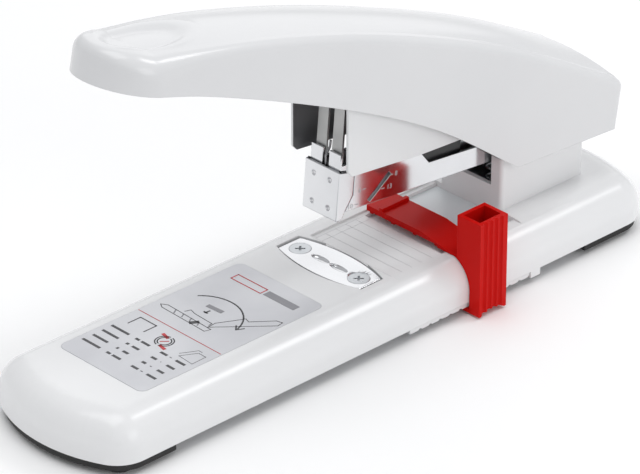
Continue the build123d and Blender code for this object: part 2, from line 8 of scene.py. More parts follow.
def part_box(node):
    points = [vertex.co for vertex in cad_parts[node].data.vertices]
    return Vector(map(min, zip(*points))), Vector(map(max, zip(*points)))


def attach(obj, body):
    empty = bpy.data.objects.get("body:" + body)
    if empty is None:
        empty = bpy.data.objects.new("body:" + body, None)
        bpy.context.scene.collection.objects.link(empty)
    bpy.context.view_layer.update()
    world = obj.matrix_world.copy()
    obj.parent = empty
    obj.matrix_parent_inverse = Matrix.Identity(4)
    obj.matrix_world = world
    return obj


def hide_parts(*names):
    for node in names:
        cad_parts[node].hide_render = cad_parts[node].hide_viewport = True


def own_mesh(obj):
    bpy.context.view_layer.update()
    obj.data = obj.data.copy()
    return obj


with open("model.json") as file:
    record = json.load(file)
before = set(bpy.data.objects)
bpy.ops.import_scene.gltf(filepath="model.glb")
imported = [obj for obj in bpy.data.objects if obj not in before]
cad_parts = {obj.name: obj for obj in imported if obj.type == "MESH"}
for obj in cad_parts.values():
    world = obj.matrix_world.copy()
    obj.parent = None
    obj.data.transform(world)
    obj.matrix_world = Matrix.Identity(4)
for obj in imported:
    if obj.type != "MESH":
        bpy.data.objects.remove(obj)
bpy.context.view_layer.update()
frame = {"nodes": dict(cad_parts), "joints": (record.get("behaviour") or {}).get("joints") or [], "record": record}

MM = 0.001

# Places that the frame gives
HINGE = Vector(next(j for j in frame["joints"] if j["name"] == "press")["pos_m"])
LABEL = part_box("base_label")
LIFT_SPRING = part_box("magazine_lift_spring")
BODY_OF = {
    node: body for body, nodes in frame["record"]["behaviour"]["bodies"].items() for node in nodes
}
SLOT_OF = {row["node"]: row["material_slot"] for row in frame["record"]["subparts"]}

# The magazine's own frame starts at its head's lower front edge and follows its pitch
HEAD_EDGE = (-110.6 * MM, 0, 42.7 * MM)
PITCH = math.radians(5)
MAGAZINE = Matrix.Translation(HEAD_EDGE) @ Matrix.Rotation(PITCH, 4, "Y")
MAGAZINE_HALF = 8.7 * MM
ROD_HEIGHT = 10 * MM

# Floor of the paper platform on top of the base
RECESS_FLOOR = 20.7 * MM

# How a CAD node's mesh is cleaned and its edges are rounded
MERGE_DISTANCE = 2e-6
FLAT_ANGLE = math.radians(0.05)
EDGE_ANGLE = math.radians(32)
EDGE_SEGMENTS = 2


# ---------------------------------------------------------------- selection and shaping

def only(piece):
    """Deselect everything, then make one piece selected and active."""
    bpy.ops.object.select_all(action="DESELECT")
    piece.select_set(True)
    bpy.context.view_layer.objects.active = piece


def all_in_edit_mode(piece):
    """Go into edit mode on one piece with its whole mesh selected."""
    only(piece)
    bpy.ops.object.mode_set(mode="EDIT")
    bpy.ops.mesh.select_all(action="SELECT")


def merge(piece, distance):
    """Merge points that lie together and turn the faces outwards."""
    all_in_edit_mode(piece)
    bpy.ops.mesh.remove_doubles(threshold=distance)
    bpy.ops.mesh.normals_make_consistent(inside=False)
    bpy.ops.object.mode_set(mode="OBJECT")


def apply_modifiers(piece):
    """Apply every modifier of a piece in order."""
    only(piece)
    for modifier in list(piece.modifiers):
        bpy.ops.object.modifier_apply(modifier=modifier.name)


def bevel(piece, width):
    """Round the sharp edges of a piece."""
    rounding = piece.modifiers.new("rounding", "BEVEL")
    rounding.width = width
    rounding.segments = EDGE_SEGMENTS
    rounding.limit_method = "ANGLE"
    rounding.angle_limit = EDGE_ANGLE
    rounding.use_clamp_overlap = False
    apply_modifiers(piece)


def smooth(piece, angle):
    """Shade a piece smooth, apart from edges sharper than an angle in degrees."""
    only(piece)
    bpy.ops.object.shade_smooth_by_angle(angle=math.radians(angle))


def even_shading(piece):
    """Keep large flat faces flat in the shading; only the narrow rounded edges run smoothly."""
    smooth(piece, 50)
    weighted = piece.modifiers.new("weighted", "WEIGHTED_NORMAL")
    weighted.keep_sharp = True
    weighted.weight = 80
    apply_modifiers(piece)


def dress(piece, name, body, slot):
    """Name a piece, give it its finish and let it ride on its body."""
    piece.name = name
    piece.data.name = name
    piece.data.materials.clear()
    piece.data.materials.append(FINISHES[slot])
    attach(piece, body)


def softened(node, width):
    """Stand a merged copy of a CAD node in its place. A width also rounds its edges."""
    piece = bpy.data.objects.new(node + "_skin", frame["nodes"][node].data.copy())
    bpy.context.scene.collection.objects.link(piece)
    all_in_edit_mode(piece)
    bpy.ops.mesh.customdata_custom_splitnormals_clear()
    bpy.ops.mesh.remove_doubles(threshold=MERGE_DISTANCE)
    bpy.ops.object.mode_set(mode="OBJECT")
    if width:
        all_in_edit_mode(piece)
        bpy.ops.mesh.dissolve_limited(angle_limit=FLAT_ANGLE)
        bpy.ops.object.mode_set(mode="OBJECT")
        bevel(piece, width)
    even_shading(piece)
    dress(piece, node + "_skin", BODY_OF[node], SLOT_OF[node])
    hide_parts(node)


def wire_piece(points, radius):
    """A round wire along a list of points, as a mesh."""
    path = bpy.data.curves.new("wire", "CURVE")
    path.dimensions = "3D"
    path.bevel_depth = radius
    path.bevel_resolution = 3
    path.use_fill_caps = True
    spline = path.splines.new("POLY")
    spline.points.add(len(points) - 1)
    for point, place in zip(spline.points, points):
        point.co = (*place, 1)
    piece = bpy.data.objects.new("wire", path)
    bpy.context.scene.collection.objects.link(piece)
    only(piece)
    bpy.ops.object.convert(target="MESH")
    return bpy.context.active_object


def smooth_line(points):
    """A function that runs smoothly through (x, value) points and goes on level past its ends."""
    slopes = []
    for i, (x, value) in enumerate(points):
        before, after = points[max(i - 1, 0)], points[min(i + 1, len(points) - 1)]
        slopes.append((after[1] - before[1]) / (after[0] - before[0]))

    def at(x):
        x = min(max(x, points[0][0]), points[-1][0])
        for (x0, v0), (x1, v1), s0, s1 in zip(points, points[1:], slopes, slopes[1:]):
            if x <= x1:
                span = x1 - x0
                t = (x - x0) / span
                stay = 2 * t ** 3 - 3 * t ** 2 + 1
                leave = t ** 3 - 2 * t ** 2 + t
                arrive = t ** 3 - t ** 2
                return stay * v0 + leave * span * s0 + (1 - stay) * v1 + arrive * span * s1
        return points[-1][1]

    return at


def ease(low, high, value):
    """0 below low, 1 above high, smooth in between."""
    t = min(max((value - low) / (high - low), 0), 1)
    return t * t * (3 - 2 * t)


# ---------------------------------------------------------------- effects that several finishes share

def new_effect(name, inputs, outputs):
    """An empty node group with number inputs and the named outputs."""
    group = bpy.data.node_groups.new(name, "ShaderNodeTree")
    for label, value in inputs.items():
        socket = group.interface.new_socket(label, in_out="INPUT", socket_type="NodeSocketFloat")
        socket.default_value = value
    for label in outputs:
        group.interface.new_socket(label, in_out="OUTPUT", socket_type="NodeSocketFloat")
    return group, group.nodes.new("NodeGroupInput"), group.nodes.new("NodeGroupOutput")


def object_noise(group, scale_from, detail, stretch=(1, 1, 1)):
    """Noise on object coordinates, stretched along one axis if asked."""
    place = group.nodes.new("ShaderNodeTexCoord")
    turn = group.nodes.new("ShaderNodeMapping")
    turn.inputs["Scale"].default_value = stretch
    noise = group.nodes.new("ShaderNodeTexNoise")
    noise.inputs["Detail"].default_value = detail
    group.links.new(place.outputs["Object"], turn.inputs["Vector"])
    group.links.new(turn.outputs["Vector"], noise.inputs["Vector"])
    group.links.new(scale_from, noise.inputs["Scale"])
    return noise.outputs["Fac"]


def mapped(group, value, low, high, to_low=0.0, to_high=1.0):
    """Stretch a value from one range to another."""
    change = group.nodes.new("ShaderNodeMapRange")
    change.inputs["From Min"].default_value = low
    change.inputs["From Max"].default_value = high
    change.inputs["To Min"].default_value = to_low
    change.inputs["To Max"].default_value = to_high
    group.links.new(value, change.inputs["Value"])
    return change.outputs["Result"]


def grain_effect():
    """Fine spark-eroded grain, with slow cloudy differences over it."""
    group, given, result = new_effect("moulded_grain", {"Grain": 2500.0, "Cloud": 18.0}, ["Height", "Cloud"])
    group.links.new(object_noise(group, given.outputs["Grain"], 2.0), result.inputs["Height"])
    cloud = mapped(group, object_noise(group, given.outputs["Cloud"], 3.0), 0.35, 0.65)
    group.links.new(cloud, result.inputs["Cloud"])
    return group


def brushed_effect():
    """Fine lines along the length of rolled or ground metal."""
    group, given, result = new_effect("rolled_lines", {"Lines": 900.0, "Stains": 35.0}, ["Height", "Stains"])
    group.links.new(object_noise(group, given.outputs["Lines"], 3.0, (0.03, 1, 1)), result.inputs["Height"])
    stains = mapped(group, object_noise(group, given.outputs["Stains"], 4.0), 0.38, 0.68)
    group.links.new(stains, result.inputs["Stains"])
    return group


def dust_effect():
    """Thin dust and handling marks, stronger on faces that look up."""
    group, given, result = new_effect("handling", {"Patches": 60.0, "Strength": 0.3}, ["Mask"])
    patches = mapped(group, object_noise(group, given.outputs["Patches"], 6.0), 0.5, 0.75)
    facing = group.nodes.new("ShaderNodeNewGeometry")
    split = group.nodes.new("ShaderNodeSeparateXYZ")
    group.links.new(facing.outputs["Normal"], split.inputs[0])
    upward = mapped(group, split.outputs["Z"], -0.2, 1.0, 0.3, 1.0)
    both = group.nodes.new("ShaderNodeMath")
    both.operation = "MULTIPLY"
    group.links.new(patches, both.inputs[0])
    group.links.new(upward, both.inputs[1])
    scaled = group.nodes.new("ShaderNodeMath")
    scaled.operation = "MULTIPLY"
    group.links.new(both.outputs[0], scaled.inputs[0])
    group.links.new(given.outputs["Strength"], scaled.inputs[1])
    group.links.new(scaled.outputs[0], result.inputs["Mask"])
    return group


# Sizes that every finish shares
SOFT_EDGE = 0.35 * MM
EDGE_SAMPLES = 6
GLOSS_SPREAD = 0.035
# Where the painted shade on the lever frame's inner faces begins and where it is full
PAINTED_SHADE_STARTS, PAINTED_SHADE_FULL = -0.006, -0.010

EFFECTS = {"grain": grain_effect(), "brushed": brushed_effect(), "dust": dust_effect()}


# ---------------------------------------------------------------- finishes

def place_effect(finish, effect, **values):
    """Put a shared effect into a material with its own values."""
    node = finish.node_tree.nodes.new("ShaderNodeGroup")
    node.node_tree = EFFECTS[effect]
    for label, value in values.items():
        node.inputs[label].default_value = value
    return node.outputs


def two_colours(finish, mask, first, second):
    """Mix two colours by a mask."""
    mix = finish.node_tree.nodes.new("ShaderNodeMix")
    mix.data_type = "RGBA"
    mix.inputs["A"].default_value = (*first, 1)
    mix.inputs["B"].default_value = (*second, 1)
    finish.node_tree.links.new(mask, mix.inputs["Factor"])
    return mix.outputs["Result"]


def bumped(finish, height, strength, distance, edge=SOFT_EDGE):
    """A bump over softly rounded edges that feeds the shader's normal."""
    rounding = finish.node_tree.nodes.new("ShaderNodeBevel")
    rounding.samples = EDGE_SAMPLES
    rounding.inputs["Radius"].default_value = edge
    bump = finish.node_tree.nodes.new("ShaderNodeBump")
    finish.node_tree.links.new(rounding.outputs["Normal"], bump.inputs["Normal"])
    bump.inputs["Strength"].default_value = strength
    bump.inputs["Distance"].default_value = distance
    finish.node_tree.links.new(height, bump.inputs["Height"])
    finish.node_tree.links.new(bump.outputs["Normal"], shader(finish).inputs["Normal"])


def shader(finish):
    """The material's main shader."""
    return finish.node_tree.nodes["Principled BSDF"]


def new_finish(name, **settings):
    """A material with plain shader settings."""
    finish = bpy.data.materials.new(name)
    finish.use_nodes = True
    for label, value in settings.items():
        shader(finish).inputs[label.replace("_", " ")].default_value = value
    return finish


def feed(finish, output, label):
    """Join an output to one of the shader's inputs."""
    finish.node_tree.links.new(output, shader(finish).inputs[label])


def paint_inner_shade(finish, tone, colour):
    """Painted shade: a dark colour on the faces that look in towards the middle plane, standing in for the shade
    inside the lever frame.
    """
    tree = finish.node_tree
    place = tree.nodes.new("ShaderNodeTexCoord")
    facing = tree.nodes.new("ShaderNodeNewGeometry")
    product = tree.nodes.new("ShaderNodeMath")
    product.operation = "MULTIPLY"
    for index, output in enumerate((place.outputs["Object"], facing.outputs["True Normal"])):
        split = tree.nodes.new("ShaderNodeSeparateXYZ")
        tree.links.new(output, split.inputs[0])
        tree.links.new(split.outputs["Y"], product.inputs[index])
    painted_shade_mask = mapped(tree, product.outputs[0], PAINTED_SHADE_STARTS, PAINTED_SHADE_FULL)
    mix = tree.nodes.new("ShaderNodeMix")
    mix.data_type = "RGBA"
    mix.inputs["B"].default_value = (*colour, 1)
    tree.links.new(tone, mix.inputs["A"])
    tree.links.new(painted_shade_mask, mix.inputs["Factor"])
    return mix.outputs["Result"]


def plastic(name, light, dark, rough, grain, depth, inside=None, edge=SOFT_EDGE, **settings):
    """Moulded plastic: cloudy colour, uneven gloss, fine grain and a little dust."""
    finish = new_finish(name, **settings)
    effect = place_effect(finish, "grain", Grain=grain)
    dust = place_effect(finish, "dust", Strength=0.25)
    tone = two_colours(finish, effect["Cloud"], light, dark)
    # Painted shade on the faces that look inwards, where an inside colour is given
    if inside:
        tone = paint_inner_shade(finish, tone, inside)
    feed(finish, tone, "Base Color")
    feed(finish, mapped(finish.node_tree, dust["Mask"], 0, 0.3, rough, rough + GLOSS_SPREAD), "Roughness")
    bumped(finish, effect["Height"], 0.25, depth, edge)
    return finish


def metal(name, light, dark, rough, lines, depth, spread=0.12, metallic=1.0):
    """Rolled metal: faint lines, stains in colour and gloss."""
    finish = new_finish(name, Metallic=metallic)
    effect = place_effect(finish, "brushed", Lines=lines)
    feed(finish, two_colours(finish, effect["Stains"], light, dark), "Base Color")
    feed(finish, mapped(finish.node_tree, effect["Stains"], 0, 1, rough, rough + spread), "Roughness")
    bumped(finish, effect["Height"], 0.2, depth)
    return finish


def white_plastic():
    """Satin white shell of the base and the lever."""
    return plastic(
        "white_plastic", (0.83, 0.833, 0.838), (0.81, 0.813, 0.82), rough=0.22, grain=2600, depth=0.01 * MM
    )


def lever_white_painted_shade():
    """The base's white plastic made darker for the lever cover, as painted shade on the whole lever."""
    return plastic(
        "lever_white_painted_shade", (0.73, 0.732, 0.74), (0.71, 0.713, 0.722), rough=0.2, grain=2600, depth=0.01 * MM
    )


def white_paint():
    """Powder coat with a little orange peel on the lever frame, and painted shade in dark grey on its inner faces.
    """
    return plastic(
        "white_paint", (0.80, 0.804, 0.81), (0.78, 0.785, 0.79), rough=0.3, grain=900, depth=0.03 * MM,
        # Colour of the painted shade on the frame's inner faces
        inside=(0.10, 0.10, 0.105),
    )


def red_plastic():
    """Glossy red depth stop."""
    return plastic(
        "red_plastic", (0.60, 0.006, 0.004), (0.54, 0.005, 0.003), rough=0.28, grain=2200, depth=0.01 * MM,
        edge=0.14 * MM, Specular_IOR_Level=0.08,
    )


def black_plastic():
    """Black pusher and bushes."""
    return plastic(
        "black_plastic", (0.010, 0.010, 0.011), (0.006, 0.006, 0.007), rough=0.3, grain=2200, depth=0.03 * MM
    )


def rubber():
    """Black soles."""
    return plastic(
        "rubber", (0.02, 0.02, 0.02), (0.01, 0.01, 0.01), rough=0.6, grain=1500, depth=0.06 * MM
    )


def chrome_steel():
    """Bright chrome on the magazine and the anvil."""
    return metal(
        "chrome_steel", (0.76, 0.765, 0.78), (0.70, 0.705, 0.72), rough=0.10, lines=700, depth=0.002 * MM,
        spread=0.07,
    )


def zinc_steel():
    """Zinc plated brackets, pins and screws."""
    return metal(
        "zinc_steel", (0.66, 0.68, 0.70), (0.52, 0.54, 0.56), rough=0.25, lines=800, depth=0.01 * MM
    )


def driver_steel():
    """Ground driver, matt grey."""
    return metal(
        "driver_steel", (0.58, 0.58, 0.57), (0.46, 0.46, 0.455), rough=0.42, lines=1600, depth=0.03 * MM
    )


def spring_steel():
    """Drawn wire, painted darker than bare steel as painted shade, so the lift coil stays dark in the shaded
    opening of the pedestal.
    """
    return metal(
        "spring_steel", (0.36, 0.36, 0.37), (0.26, 0.26, 0.27), rough=0.22, lines=1500, depth=0.01 * MM
    )


def staple_wire():
    """Galvanised staples."""
    return metal(
        "staple_wire", (0.74, 0.74, 0.75), (0.62, 0.62, 0.63), rough=0.25, lines=2400, depth=0.03 * MM
    )


def grey_sheet():
    """Blue-grey painted sheet."""
    return plastic(
        "grey_sheet", (0.82, 0.87, 0.89), (0.79, 0.84, 0.86), rough=0.3, grain=1200, depth=0.02 * MM
    )


def foil():
    """Printed silver foil of the label."""
    return metal(
        "foil", (0.66, 0.665, 0.69), (0.60, 0.605, 0.635), rough=0.38, lines=1400, depth=0.004 * MM,
        spread=0.08, metallic=0.35,
    )


FINISHES = {
    make.__name__: make()
    for make in (
        white_plastic, lever_white_painted_shade, white_paint, red_plastic, black_plastic, rubber, chrome_steel, zinc_steel,
        driver_steel, spring_steel, staple_wire, grey_sheet, foil,
    )
}


def ink(name, light, dark):
    """Printing ink with a slightly uneven cover."""
    return plastic(name, light, dark, rough=0.45, grain=3000, depth=0.01 * MM)


INKS = {
    "dark": ink("dark_ink", (0.035, 0.035, 0.04), (0.07, 0.07, 0.075)),
    "grey": ink("grey_ink", (0.22, 0.22, 0.24), (0.28, 0.28, 0.30)),
    "red": ink("red_ink", (0.55, 0.02, 0.03), (0.62, 0.05, 0.06)),
    "mark": ink("mark_ink", (0.62, 0.62, 0.64), (0.52, 0.52, 0.54)),
}


# ---------------------------------------------------------------- lever cover

NOSE_X = -216.5 * MM
NOSE_R = 18.5 * MM
TAIL_X = 20.4 * MM
TAIL_CORNER = 4.5 * MM
COVER_WALL = 2.2 * MM
UNDER_CORNER_X = -32.3 * MM
TAIL_LOW_Z = 40.8 * MM
NOTCH_HALF = 17.0 * MM
NOTCH_TOP = 58.0 * MM
DISH_X = -191.5 * MM
DISH_LENGTH = 21.5 * MM
DISH_HALF = 10.8 * MM
DISH_DEPTH = 2.3 * MM
DISH_RIM = 0.3 * MM
NOSE_LEAN = 3.6 * MM
TAIL_LEAN = 3.4 * MM
TAIL_LEAN_HEIGHT = 18 * MM
TAIL_LEAN_LENGTH = 9 * MM
CROWN_END_X = TAIL_X - 18 * MM

# Steps of the cover's plan, and rows of points from its lower edge to the middle of its top
NOSE_STEPS, SIDE_STEPS, SKIRT_STEPS, CORNER_STEPS, BACK_STEPS = 36, 96, 14, 8, 10
SIDE_ROWS, ARC_ROWS, TOP_ROWS = 6, 8, 34
CREASE_ROW = SIDE_ROWS + ARC_ROWS
LAST_ROW = CREASE_ROW + TOP_ROWS

cover_edge = smooth_line(
    [(NOSE_X, 0.1432), (-0.1552, 0.1312), (-0.0981, 0.1143), (-0.0383, 0.0902), (TAIL_X, 0.0588)]
)
cover_under = smooth_line(
    [(NOSE_X, 0.1316), (-0.1774, 0.1190), (-0.1151, 0.0920), (-0.0713, 0.0687), (UNDER_CORNER_X, 0.0407)]
)
cover_half = smooth_line([(NOSE_X + NOSE_R, NOSE_R), (-0.096, NOSE_R), (-0.038, 0.021), (TAIL_X, 0.025)])
cover_crown = smooth_line(
    [(NOSE_X, 0.0016), (-0.155, 0.0022), (-0.098, 0.0026), (-0.038, 0.0040), (TAIL_X, 0.0052)]
)
cover_round = smooth_line(
    [(NOSE_X, 0.0026), (-0.203, 0.0072), (-0.178, 0.0052), (-0.150, 0.0040), (TAIL_X, 0.0036)]
)


def cover_outline():
    """Half of the cover's plan, from nose to tail: each point's place and the way outwards."""
    half = []
    start, corner, end = NOSE_X + NOSE_R, UNDER_CORNER_X, TAIL_X - TAIL_CORNER
    for step in range(NOSE_STEPS + 1):
        turn = math.radians(180 - 90 * step / NOSE_STEPS)
        out = (math.cos(turn), math.sin(turn))
        half.append((start + NOSE_R * out[0], NOSE_R * out[1], *out))
    side = [start + (corner - start) * i / SIDE_STEPS for i in range(1, SIDE_STEPS + 1)]
    side += [corner + (end - corner) * i / SKIRT_STEPS for i in range(1, SKIRT_STEPS + 1)]
    half += [(x, cover_half(x), 0.0, 1.0) for x in side]
    width = cover_half(end)
    for step in range(1, CORNER_STEPS + 1):
        turn = math.radians(90 - 90 * step / CORNER_STEPS)
        x = end + TAIL_CORNER * math.cos(turn)
        y = width - TAIL_CORNER + TAIL_CORNER * math.sin(turn)
        half.append((x, y, math.cos(turn), math.sin(turn)))
    for step in range(1, BACK_STEPS + 1):
        half.append((TAIL_X, (width - TAIL_CORNER) * (1 - step / BACK_STEPS), 1.0, 0.0))
    return half


def cover_low(x, y):
    """Height of the cover's lower edge, with the notch in the tail wall."""
    if x > TAIL_X - 1 * MM and abs(y) < NOTCH_HALF:
        return NOTCH_TOP
    return cover_under(x) if x < UNDER_CORNER_X else TAIL_LOW_Z


def thumb_dish(x, y):
    """How far the thumb dish near the nose lies under the crown."""
    reach = math.hypot((x - DISH_X) / DISH_LENGTH, y / DISH_HALF)
    dip = DISH_DEPTH * (1 - ease(0.6, 0.98, reach))
    rim = DISH_RIM * math.exp(-((reach - 1.06) / 0.06) ** 2)
    return dip - rim


def cover_point(column, row):
    """A point of the cover. Column is a place of the plan, and row runs up the side and over the top."""
    x, y, nx, ny = column
    edge = cover_edge(x)
    radius = cover_round(x)
    low = cover_low(x, y)
    first_turn = math.asin(max(1 - (edge - low) / radius, 0))
    if row <= SIDE_ROWS:
        x -= nx * radius * (1 - math.cos(first_turn))
        y -= ny * radius * (1 - math.cos(first_turn))
        z = low + max(edge - radius - low, 0) * row / SIDE_ROWS
    elif row <= CREASE_ROW:
        turn = first_turn + (math.pi / 2 - first_turn) * (row - SIDE_ROWS) / ARC_ROWS
        x -= nx * radius * (1 - math.cos(turn))
        y -= ny * radius * (1 - math.cos(turn))
        z = edge - radius * (1 - math.sin(turn))
    else:
        share = (row - CREASE_ROW) / TOP_ROWS
        x -= nx * radius
        y -= ny * radius
        start_gap = edge - cover_edge(x)
        middle = min(max(x, NOSE_X + NOSE_R), CROWN_END_X)
        x += (middle - x) * share
        y *= 1 - share
        crown = cover_crown(x) * (1 - (1 - share) ** 2)
        dish = thumb_dish(x, y) * ease(0, 0.2, share)
        z = cover_edge(x) + start_gap * (1 - share) + crown - dish
    height = min(max((z - low) / (edge - low), 0), 1)
    x += NOSE_LEAN * height * max(-nx, 0) * (1 - ease(CREASE_ROW, LAST_ROW, row))
    lean = (TAIL_LOW_Z + TAIL_LEAN_HEIGHT - z) / TAIL_LEAN_HEIGHT
    x -= TAIL_LEAN * max(lean, 0) * ease(TAIL_X - TAIL_LEAN_LENGTH, TAIL_X, column[0])
    return Vector((x, y, z))


def handle_cover():
    """White lever cover: side walls, rounded crease, crowned top with the thumb dish, open below."""
    half = cover_outline()
    outline = [(x, -y, nx, -ny) for x, y, nx, ny in half] + half[-2:0:-1]
    bpy.ops.mesh.primitive_grid_add(x_subdivisions=len(outline), y_subdivisions=LAST_ROW, size=2)
    cover = bpy.context.active_object
    for vertex in cover.data.vertices:
        column = round((vertex.co.x + 1) / 2 * len(outline)) % len(outline)
        row = round((vertex.co.y + 1) / 2 * LAST_ROW)
        vertex.co = cover_point(outline[column], row)
    merge(cover, 5e-6)
    wall = cover.modifiers.new("wall", "SOLIDIFY")
    wall.thickness = COVER_WALL
    wall.offset = -1
    wall.use_even_offset = False
    apply_modifiers(cover)
    smooth(cover, 40)
    dress(cover, "handle_cover_skin", "handle", "white_plastic")
    # The lever cover takes the darker copy of the white plastic, as painted shade
    cover.data.materials[0] = FINISHES["lever_white_painted_shade"]
    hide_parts("handle_cover")


# ---------------------------------------------------------------- springs and wires

STEPS_IN_A_TURN = 20
CLOSED_PITCH = 1.02


def helix(radius, wire, turns, length, closed_turns=1.0):
    """Points of a coil along +Z, with its end turns lying closer."""
    points = []
    steps = int(turns * STEPS_IN_A_TURN)
    for step in range(steps + 1):
        share = step / steps
        turn = 2 * math.pi * turns * share
        open_share = (turns * share - closed_turns) / (turns - 2 * closed_turns)
        open_share = min(max(open_share, 0), 1)
        closed = min(turns * share, closed_turns) + max(turns * share - (turns - closed_turns), 0)
        pitch = wire * CLOSED_PITCH
        rise = closed * pitch + open_share * (length - wire - 2 * closed_turns * pitch)
        points.append(Vector((radius * math.cos(turn), radius * math.sin(turn), wire / 2 + rise)))
    return points


def lift_spring():
    """Coil between the yoke's foot and the magazine."""
    low, high = LIFT_SPRING
    centre = (low + high) / 2
    wire = 1.0 * MM
    radius = (high.x - low.x) / 2 - wire / 2
    foot = Vector((centre.x, centre.y, low.z))
    points = [foot + p for p in helix(radius, wire, turns=8, length=high.z - low.z)]
    spring = wire_piece(points, wire / 2)
    smooth(spring, 60)
    dress(spring, "magazine_lift_coil", "base", "spring_steel")
    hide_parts("magazine_lift_spring")
    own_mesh(spring)


def pusher_spring():
    """Coil around the rod behind the pusher."""
    wire = 0.8 * MM
    radius = 2.9 * MM
    start, end = 38.6 * MM, 87.6 * MM
    lie = Matrix.Rotation(math.radians(90), 4, "Y")
    front = Vector((start, 0, ROD_HEIGHT))
    points = [MAGAZINE @ (front + lie @ p) for p in helix(radius, wire, turns=17, length=end - start)]
    spring = wire_piece(points, wire / 2)
    smooth(spring, 60)
    dress(spring, "pusher_coil", "magazine", "spring_steel")
    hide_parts("pusher_spring")
    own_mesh(spring)


def torsion_spring():
    """Coil around the hinge pin with two legs."""
    wire = 1.2 * MM
    radius = 4.8 * MM
    half = 6.4 * MM
    leg = Vector((-14 * MM, 0, 0))
    coil = helix(radius, wire, turns=9, length=2 * half, closed_turns=3.5)
    points = [HINGE + Vector((p.y, p.z - half, p.x)) for p in coil]
    points = [points[0] + leg] + points + [points[-1] + leg]
    spring = wire_piece(points, wire / 2)
    smooth(spring, 60)
    dress(spring, "torsion_coil", "pivot", "spring_steel")
    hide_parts("torsion_spring")


# ---------------------------------------------------------------- printing

# The ink's underside and top over the face that it is printed on
INK_GAP = 0.005 * MM
INK_TOP = 0.03 * MM
STROKE_OVERLAP = 0.35

# Widths of the label's strokes, in millimetres
HAIRLINE = 0.22
LINE = 0.32
OUTLINE = 0.5
BOLD = 0.6


def printed(name, body, colour, strokes, place):
    """Thin strokes in millimetres: each has flat points, a width and whether it closes. Place lays them."""
    mesh = bpy.data.meshes.new(name)
    shape = bmesh.new()
    for points, width, closed in strokes:
        ends = points[1:] + points[:1] if closed else points[1:]
        for a, b in zip(points, ends):
            a, b = Vector(a) * MM, Vector(b) * MM
            along = (b - a).normalized() * width * MM
            side = Vector((-along.y, along.x)) / 2
            a, b = a - along * STROKE_OVERLAP, b + along * STROKE_OVERLAP
            corners = (a - side, b - side, b + side, a + side)
            lower = [shape.verts.new(place(c.x, c.y, INK_GAP)) for c in corners]
            upper = [shape.verts.new(place(c.x, c.y, INK_TOP)) for c in corners]
            shape.faces.new(upper)
            shape.faces.new(lower[::-1])
            for i in range(4):
                shape.faces.new((lower[i], lower[(i + 1) % 4], upper[(i + 1) % 4], upper[i]))
    bmesh.ops.recalc_face_normals(shape, faces=shape.faces)
    shape.to_mesh(mesh)
    shape.free()
    piece = bpy.data.objects.new(name, mesh)
    bpy.context.scene.collection.objects.link(piece)
    mesh.materials.append(INKS[colour])
    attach(piece, body)


def arc_points(centre, radius, start, end, steps=12):
    """Points of an arc in the flat, in degrees."""
    turns = [math.radians(start + (end - start) * i / steps) for i in range(steps + 1)]
    return [(centre[0] + radius * math.cos(t), centre[1] + radius * math.sin(t)) for t in turns]


def on_label(right, up, height):
    """A point of the label's drawing: right across the base, and up towards the anvil."""
    return Vector((LABEL[0].x + up, -right, LABEL[1].z + height))


def opened_stapler():
    """The opened stapler with an arrow over it, and a staple over a stack of paper."""
    sweep = arc_points((-2.5, 47.5), 15.6, 138, 18, 18)
    tip = sweep[-1]
    barb = (tip[0] + 0.1, tip[1] - 1.0)
    lever = [
        (4.5, 45.6), (20.4, 63.6), (20.0, 66.2), (17.6, 65.6),
        (11.5, 58.2), (9.3, 58.9), (7.6, 55.6), (4.2, 49.2),
    ]
    strokes = [
        (sweep, BOLD, False),
        (lever, LINE, True),
        ([(-18.8, 44.6), (-16.8, 43.4), (5.6, 42.8), (6.4, 45.2), (-16.4, 46.0)], LINE, True),
        ([(-9.2, 47.2), (-8.4, 49.4), (-5.6, 48.6), (3.6, 48.2), (3.8, 46.6)], LINE, False),
        ([(12.0, 25.4), (15.4, 31.4), (19.0, 31.4), (19.2, 24.9)], HAIRLINE, True),
        ([(10.9, 26.6), (14.2, 32.6), (15.9, 32.6)], HAIRLINE, False),
        ([(-16.6, 27.6), (-16.6, 33.4), (-8.4, 33.4), (-8.4, 27.6)], OUTLINE, False),
        ([(-3.4, 53.6), (-3.6, 51.6)], 0.7, False),
        ([(-4.4, 51.9), (-2.8, 51.9)], 0.7, False),
        ([(-1.9, 43.4), (-0.6, 45.4)], 1.8, False),
        ([(tip[0] - 1.9, tip[1] + 1.0), barb], BOLD, False),
        ([(tip[0] + 1.5, tip[1] + 1.6), barb], BOLD, False),
    ]
    for ring in (3.4, 2.5):
        for start, end in ((100, 260), (-80, 80)):
            strokes.append((arc_points((1.3, 28.4), ring, start, end, 10), 0.45, False))
    return strokes


def word_rows():
    """Rows of plain dashes where a table of words would stand."""
    columns = [(-19.0, 8.2), (-6.6, 1.2), (-3.6, 3.4), (6.2, 2.6), (10.6, 0.8), (14.0, 3.8)]
    strokes = []
    for row, up in enumerate((22.6, 18.2, 13.8, 9.4)):
        trim = 0.5 * (row % 3)
        for start, length in columns:
            word = [(start + trim * 0.4, up), (start + length - trim, up)]
            strokes.append((word, 1.15 if length > 1 else 0.35, False))
    return strokes


